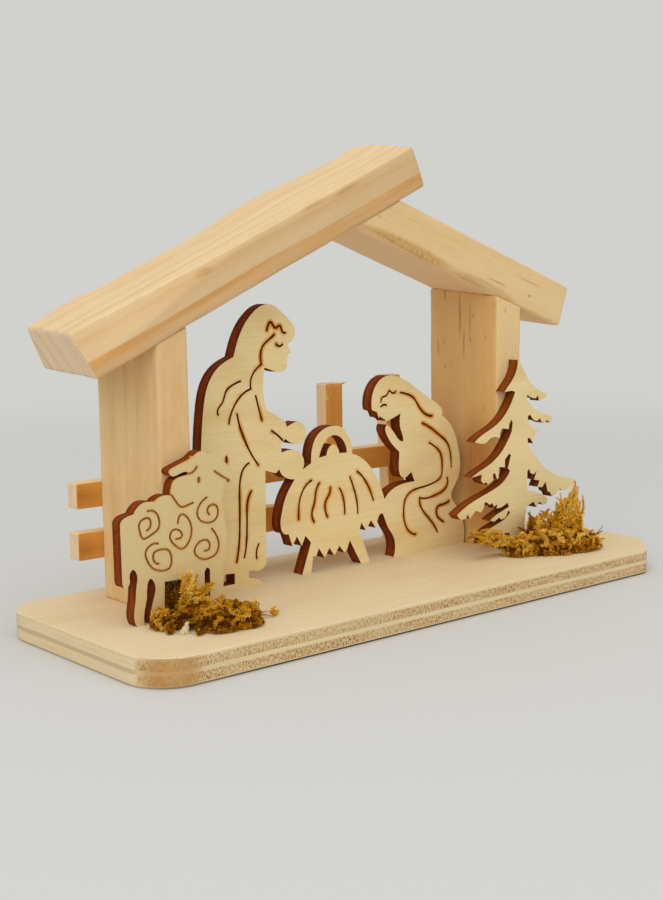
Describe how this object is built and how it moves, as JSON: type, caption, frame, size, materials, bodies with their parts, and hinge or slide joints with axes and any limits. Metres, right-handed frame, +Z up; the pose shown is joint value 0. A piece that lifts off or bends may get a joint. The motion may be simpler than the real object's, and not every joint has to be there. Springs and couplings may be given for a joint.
{
  "type": "nativity stable",
  "caption": "Wooden nativity stable: posts and sloping roof boards on a plywood base, rail fence behind, flat cut-out family, sheep and tree, dry moss.",
  "frame": {"origin": "middle of the base board's underside", "axes": "+X along the base to the right as seen from the front, +Y from the figures to the fence, +Z up"},
  "size_m": [0.16, 0.06, 0.1072],
  "materials": {
    "ply_face": "raw sanded veneer",
    "ply_core": "raw porous end grain",
    "pine": "raw sawn pine",
    "strip_pine": "raw sawn pine",
    "laser_ply": "raw veneer with burnt edges",
    "moss": "dry and feathery",
    "glue": "set hot glue"
  },
  "bodies": {
    "root": {"base_top_veneer": "ply_face", "base_centre_veneer": "ply_face", "base_bottom_veneer": "ply_face", "base_upper_core": "ply_core", "base_lower_core": "ply_core", "left_post": "pine", "right_post": "pine", "left_roof_board": "pine", "right_roof_board": "pine", "upper_rail": "strip_pine", "lower_rail": "strip_pine", "picket_1": "strip_pine", "picket_2": "strip_pine", "picket_3": "strip_pine", "picket_4": "strip_pine", "holy_family_plate": "laser_ply", "sheep_plate": "laser_ply", "tree_plate": "laser_ply", "moss_clump_left": "moss", "moss_clump_right": "moss", "glue_dab": "glue"}
  },
  "joints": []
}
